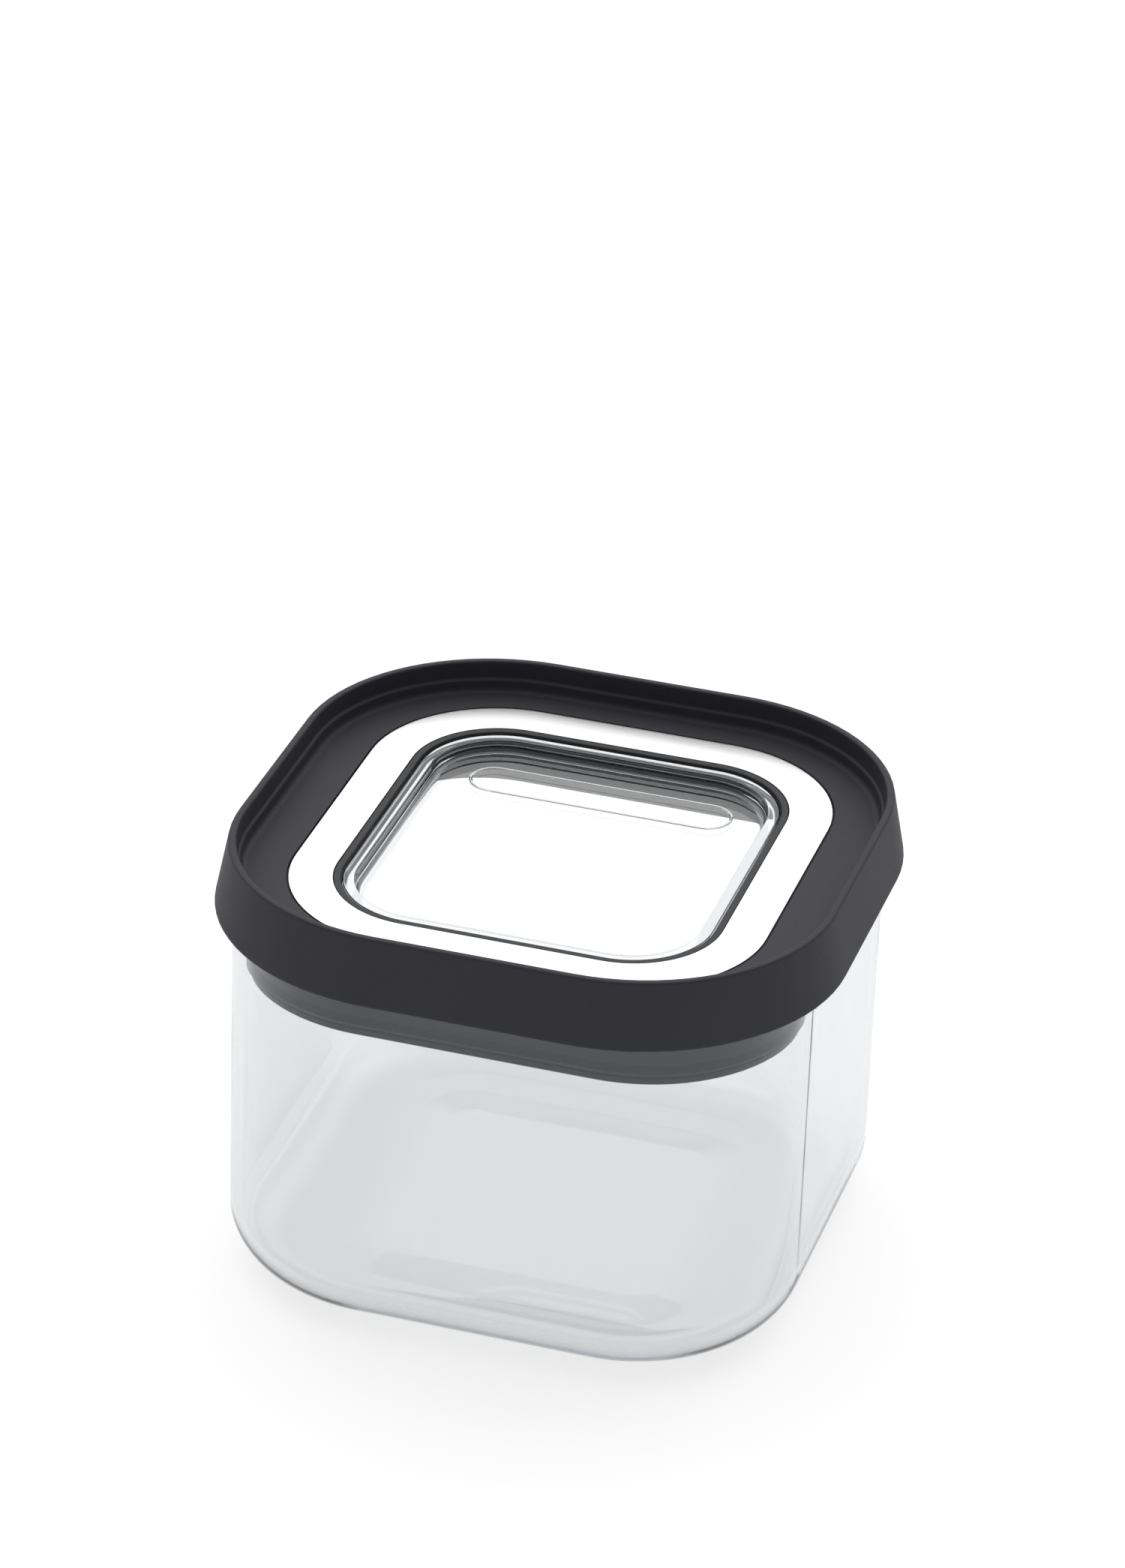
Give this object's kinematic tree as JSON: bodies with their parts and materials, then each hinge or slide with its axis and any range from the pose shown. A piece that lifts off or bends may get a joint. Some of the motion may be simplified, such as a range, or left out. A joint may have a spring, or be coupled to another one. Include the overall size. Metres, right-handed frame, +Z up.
{
  "type": "lidded glass canister",
  "caption": "Square clear glass canister with rounded corners and a push-in charcoal lid that has a sunken tray, a flush steel trim ring, a clear window and a silicone mouth seal.",
  "frame": {"origin": "centre of the base, on the surface that the canister stands on", "axes": "+X across the canister to its right, +Y from its front to its back, +Z up through the lid"},
  "size_m": [0.115, 0.115, 0.0834],
  "materials": {
    "clear_glass": "clear fire-polished borosilicate glass, faint grey-blue in thick edges",
    "charcoal_plastic": "fine satin texture",
    "trim_steel": "fine brushed stainless steel",
    "window_seal_rubber": "matte",
    "clear_plastic": "clear, polished",
    "plug_plastic": "smooth satin",
    "seal_silicone": "soft matte silicone"
  },
  "bodies": {
    "jar": {"glass_jar": "clear_glass"},
    "lid": {"lid_cover": "charcoal_plastic", "steel_trim_ring": "trim_steel", "window_seal": "window_seal_rubber", "lid_window": "clear_plastic", "plug_frame": "plug_plastic", "mouth_seal": "seal_silicone"}
  },
  "joints": [
    {"name": "lid_lift", "type": "slide", "parent": "jar", "child": "lid", "axis": [0, 0, 1], "range_m": [0, 0.05]}
  ]
}
